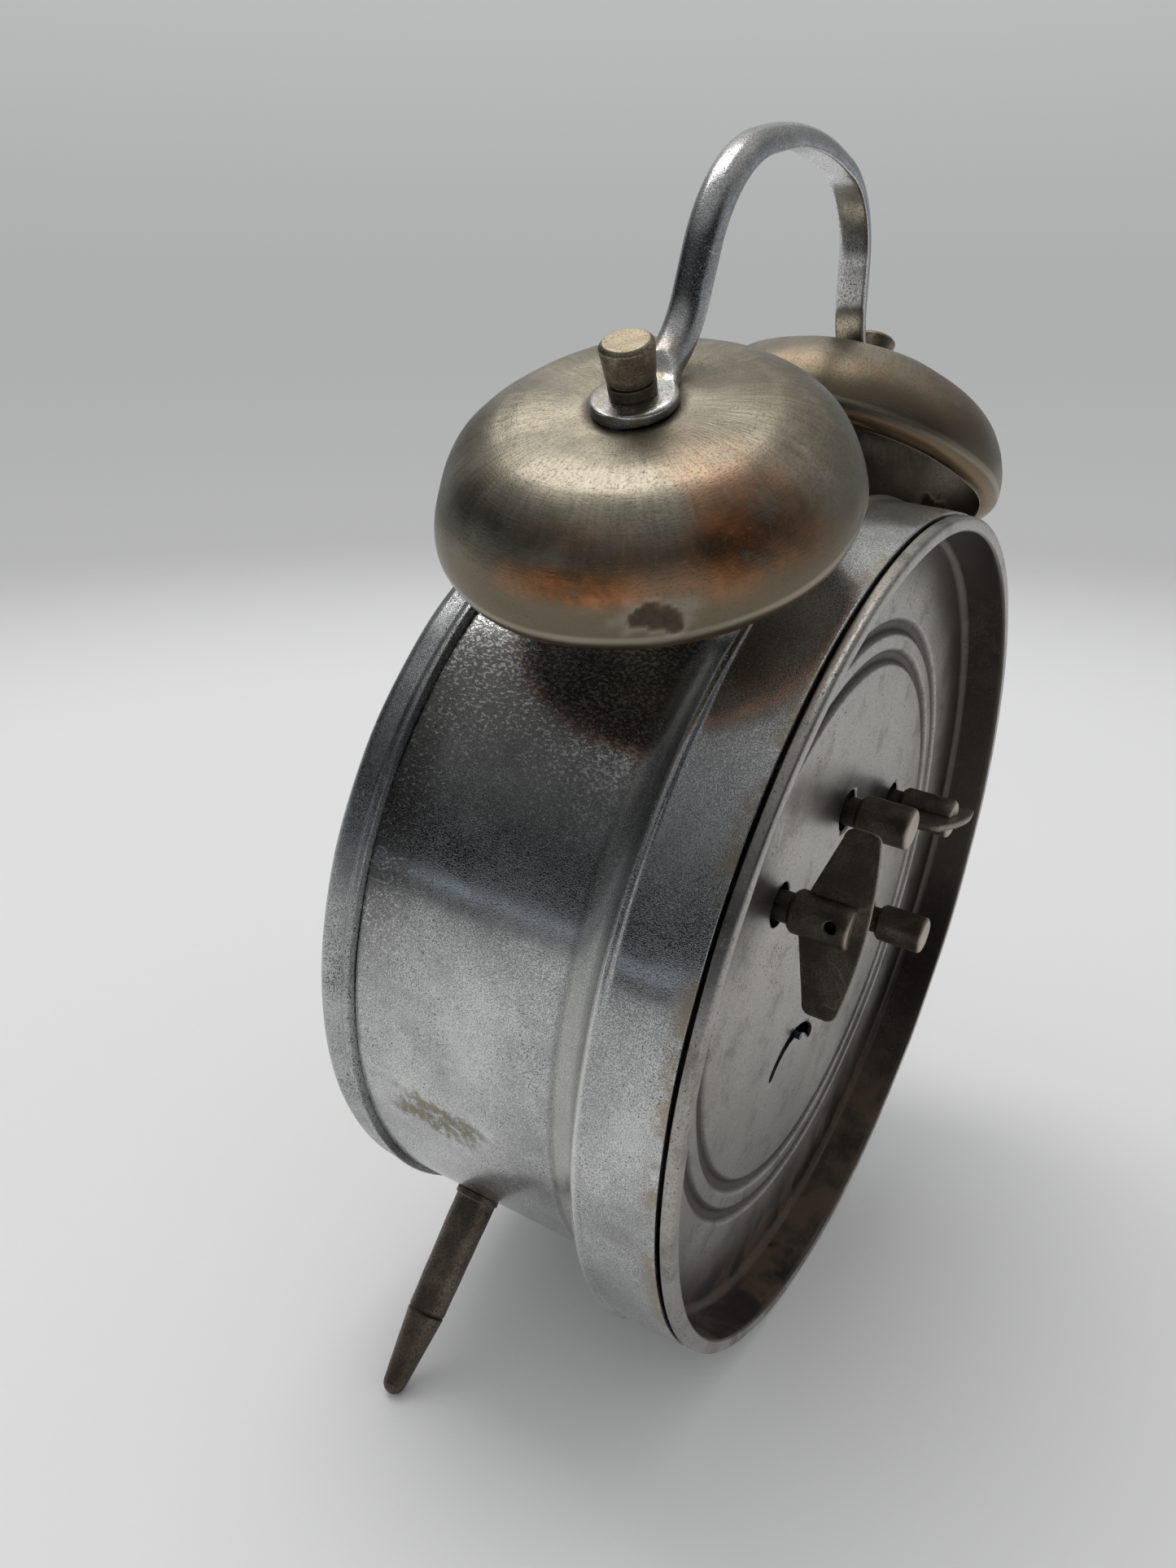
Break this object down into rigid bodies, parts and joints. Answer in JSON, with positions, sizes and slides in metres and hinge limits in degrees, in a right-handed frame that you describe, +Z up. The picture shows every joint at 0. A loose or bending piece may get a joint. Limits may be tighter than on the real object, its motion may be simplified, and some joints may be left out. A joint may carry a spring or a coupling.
{
  "type": "twin-bell alarm clock",
  "caption": "Wind-up twin-bell alarm clock: round metal drum leaning back on peg feet, two cup bells, carrying handle, winding keys and setting knobs behind.",
  "frame": {"origin": "on the ground, under the middle of the overall box", "axes": "+Z up, +X to the right seen from the dial, dial faces -Y and leans back, keys face +Y"},
  "size_m": [0.1108, 0.0604, 0.1505],
  "materials": {
    "case_nickel": "worn nickel plate, speckled and pitted",
    "bezel_nickel": "worn nickel plate",
    "cover_steel": "warm satin plate",
    "bell_metal": "brushed warm nickel with coppery wear",
    "handle_chrome": "polished, worn at the roots",
    "nut_bronze": "tarnished, pale worn top",
    "key_bronze": "dark tarnished",
    "foot_bronze": "dark tarnished",
    "glass": "clear",
    "dial_paint": "matt cream",
    "dial_ring": "satin",
    "hand_black": "satin black",
    "hand_red": "satin red",
    "brass_wheels": "bright brass",
    "arbor_steel": "polished steel",
    "blue_steel": "blued spring steel"
  },
  "bodies": {
    "clock": {"alarm_mainspring": "blue_steel", "back_cover": "cover_steel", "back_plate": "brass_wheels", "bell_left": "bell_metal", "bell_nut_left": "nut_bronze", "bell_nut_right": "nut_bronze", "bell_post_left": "arbor_steel", "bell_post_right": "arbor_steel", "bell_right": "bell_metal", "case_barrel": "case_nickel", "dial": "dial_paint", "dial_ring": "dial_ring", "foot_left": "foot_bronze", "foot_nuts": "arbor_steel", "foot_right": "foot_bronze", "frame_pillars": "arbor_steel", "front_bezel": "bezel_nickel", "front_glass": "glass", "front_plate": "brass_wheels", "hairspring": "blue_steel", "handle": "handle_chrome", "pillar_nuts": "arbor_steel", "time_mainspring": "blue_steel"},
    "time_key": {"time_key_hub": "key_bronze", "time_key_wing": "key_bronze", "time_winding_arbor": "arbor_steel", "time_ratchet": "arbor_steel"},
    "alarm_key": {"alarm_key_hub": "key_bronze", "alarm_key_wing": "key_bronze", "alarm_winding_arbor": "arbor_steel", "alarm_ratchet": "arbor_steel"},
    "time_great_wheel": {"time_great_wheel": "brass_wheels"},
    "time_click": {"time_click": "arbor_steel"},
    "alarm_great_wheel": {"alarm_great_wheel": "brass_wheels"},
    "alarm_click": {"alarm_click": "arbor_steel"},
    "centre_arbor": {"centre_arbor": "arbor_steel", "centre_wheel": "brass_wheels"},
    "third_arbor": {"third_arbor": "arbor_steel", "third_wheel": "brass_wheels"},
    "fourth_arbor": {"fourth_arbor": "arbor_steel", "fourth_wheel": "brass_wheels"},
    "escape_wheel": {"escape_wheel": "arbor_steel"},
    "pallet_fork": {"pallet_fork": "brass_wheels"},
    "balance_wheel": {"balance_wheel": "brass_wheels"},
    "regulator": {"regulator": "brass_wheels"},
    "minute_hand": {"cannon_pinion": "brass_wheels", "minute_hand": "hand_black"},
    "minute_wheel": {"minute_wheel": "brass_wheels"},
    "hour_hand": {"hour_wheel": "brass_wheels", "hour_hand": "hand_black"},
    "alarm_hand": {"alarm_wheel": "brass_wheels", "alarm_hand": "hand_red"},
    "time_set_knob": {"time_set_knob": "key_bronze", "time_set_arbor": "arbor_steel"},
    "alarm_set_knob": {"alarm_set_knob": "key_bronze", "alarm_set_arbor": "arbor_steel"},
    "alarm_escape_wheel": {"alarm_escape_wheel": "arbor_steel"},
    "hammer": {"hammer_arm": "arbor_steel", "hammer_head": "arbor_steel"}
  },
  "joints": [
    {"name": "time_key_wind", "type": "hinge", "parent": "clock", "child": "time_key", "pos_m": [0.02, 0.02561, 0.06564], "axis": [0, 0.9945, -0.1045], "range_deg": [-2880, 0]},
    {"name": "alarm_key_wind", "type": "hinge", "parent": "clock", "child": "alarm_key", "pos_m": [-0.02, 0.02561, 0.06564], "axis": [0, 0.9945, -0.1045], "range_deg": [-1800, 0]},
    {"name": "time_great_wheel_turn", "type": "hinge", "parent": "clock", "child": "time_great_wheel", "pos_m": [0.02, -0.00473, 0.06883], "axis": [0, 0.9945, -0.1045], "continuous": true},
    {"name": "time_click_lift", "type": "hinge", "parent": "time_great_wheel", "child": "time_click", "pos_m": [0.029, -0.00324, 0.06867], "axis": [0, 0.9945, -0.1045], "range_deg": [0, 12], "stiffness_Nm_per_rad": 0.0002},
    {"name": "alarm_great_wheel_turn", "type": "hinge", "parent": "clock", "child": "alarm_great_wheel", "pos_m": [-0.02, -0.00473, 0.06883], "axis": [0, 0.9945, -0.1045], "continuous": true},
    {"name": "alarm_click_lift", "type": "hinge", "parent": "alarm_great_wheel", "child": "alarm_click", "pos_m": [-0.011, -0.00324, 0.06867], "axis": [0, 0.9945, -0.1045], "range_deg": [0, 12], "stiffness_Nm_per_rad": 0.0002},
    {"name": "centre_arbor_turn", "type": "hinge", "parent": "clock", "child": "centre_arbor", "pos_m": [0, 0.00455, 0.05659], "axis": [0, 0.9945, -0.1045], "continuous": true},
    {"name": "third_arbor_turn", "type": "hinge", "parent": "clock", "child": "third_arbor", "pos_m": [0.01298, 0.0036, 0.04756], "axis": [0, 0.9945, -0.1045], "continuous": true},
    {"name": "fourth_arbor_turn", "type": "hinge", "parent": "clock", "child": "fourth_arbor", "pos_m": [0.01978, 0.00236, 0.03584], "axis": [0, 0.9945, -0.1045], "continuous": true},
    {"name": "escape_wheel_turn", "type": "hinge", "parent": "clock", "child": "escape_wheel", "pos_m": [0.02149, 0.00135, 0.02615], "axis": [0, 0.9945, -0.1045], "continuous": true},
    {"name": "pallet_fork_rock", "type": "hinge", "parent": "clock", "child": "pallet_fork", "pos_m": [0.0136, -0.00558, 0.02719], "axis": [0, 0.9945, -0.1045], "range_deg": [-8, 8]},
    {"name": "balance_swing", "type": "hinge", "parent": "clock", "child": "balance_wheel", "pos_m": [0.0052, -0.00187, 0.03384], "axis": [0, 0.9945, -0.1045], "range_deg": [-150, 150], "stiffness_Nm_per_rad": 0.000002},
    {"name": "regulator_shift", "type": "hinge", "parent": "clock", "child": "regulator", "pos_m": [0.0052, 0.01305, 0.03227], "axis": [0, 0.9945, -0.1045], "range_deg": [-38, 38]},
    {"name": "minute_hand_turn", "type": "hinge", "parent": "clock", "child": "minute_hand", "pos_m": [0, -0.02032, 0.0592], "axis": [0, 0.9945, -0.1045], "continuous": true},
    {"name": "minute_wheel_turn", "type": "hinge", "parent": "clock", "child": "minute_wheel", "pos_m": [-0.009, -0.0122, 0.05037], "axis": [0, 0.9945, -0.1045], "continuous": true},
    {"name": "hour_hand_turn", "type": "hinge", "parent": "clock", "child": "hour_hand", "pos_m": [0, -0.01932, 0.0591], "axis": [0, 0.9945, -0.1045], "continuous": true},
    {"name": "time_set_turn", "type": "hinge", "parent": "clock", "child": "time_set_knob", "pos_m": [-0.021, 0.0236, 0.04654], "axis": [0, 0.9945, -0.1045], "continuous": true},
    {"name": "alarm_hand_turn", "type": "hinge", "parent": "clock", "child": "alarm_hand", "pos_m": [0, -0.01833, 0.05899], "axis": [0, 0.9945, -0.1045], "continuous": true},
    {"name": "alarm_set_turn", "type": "hinge", "parent": "clock", "child": "alarm_set_knob", "pos_m": [0, 0.02616, 0.07091], "axis": [0, 0.9945, -0.1045], "continuous": true},
    {"name": "alarm_escape_wheel_turn", "type": "hinge", "parent": "clock", "child": "alarm_escape_wheel", "pos_m": [-0.00715, 0.00718, 0.08165], "axis": [0, 0.9945, -0.1045], "continuous": true},
    {"name": "hammer_swing", "type": "hinge", "parent": "clock", "child": "hammer", "pos_m": [0, 0.00302, 0.08993], "axis": [0, 0.9945, -0.1045], "range_deg": [-6, 6]}
  ],
  "couplings": [
    {"joint": "third_arbor_turn", "follows": "fourth_arbor_turn", "ratio": -0.13333},
    {"joint": "centre_arbor_turn", "follows": "fourth_arbor_turn", "ratio": 0.016667},
    {"joint": "time_great_wheel_turn", "follows": "fourth_arbor_turn", "ratio": -0.0041667},
    {"joint": "escape_wheel_turn", "follows": "fourth_arbor_turn", "ratio": -10},
    {"joint": "minute_wheel_turn", "follows": "minute_hand_turn", "ratio": -0.33333},
    {"joint": "hour_hand_turn", "follows": "minute_hand_turn", "ratio": 0.083333},
    {"joint": "time_set_turn", "follows": "minute_hand_turn", "ratio": 1},
    {"joint": "alarm_set_turn", "follows": "alarm_hand_turn", "ratio": -2},
    {"joint": "alarm_escape_wheel_turn", "follows": "alarm_great_wheel_turn", "ratio": -8.5}
  ]
}
